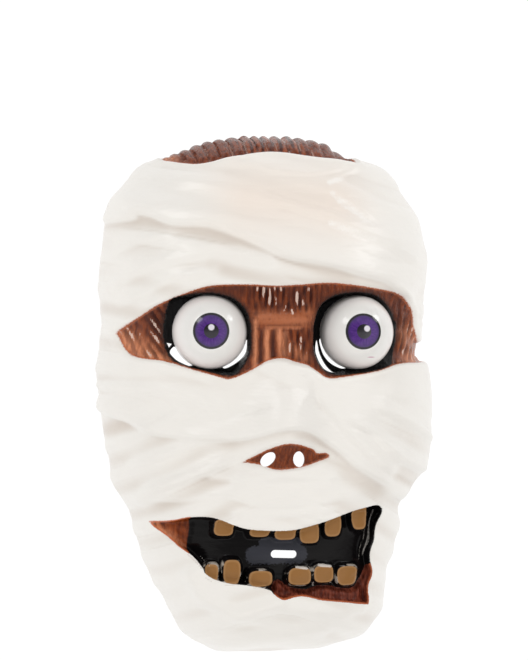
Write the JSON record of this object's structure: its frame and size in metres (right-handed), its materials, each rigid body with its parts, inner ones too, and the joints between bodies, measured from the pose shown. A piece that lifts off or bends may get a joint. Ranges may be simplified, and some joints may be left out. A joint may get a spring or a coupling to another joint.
{
  "type": "mummy face mask",
  "caption": "Formed face mask of a bandaged mummy with bulging eyeballs in dark sockets, sight slits, a nose with nostrils and an open mouth with teeth; hollow behind",
  "frame": {"origin": "centre of the bounding box's bottom, in the plane of the rim that the mask lies on", "axes": "+Z out of the face, +Y to the top of the head, +X to the right as seen by someone who looks at the face"},
  "size_m": [0.1866, 0.2821, 0.0815],
  "materials": {
    "painted_shell": "glossy off-white paint on a formed sheet, with brown skin and black hollows",
    "eyeball": "smooth glossy white with a printed purple iris"
  },
  "bodies": {
    "root": {"mask_shell": "painted_shell", "eyeball_left": "eyeball", "eyeball_right": "eyeball"}
  },
  "joints": []
}
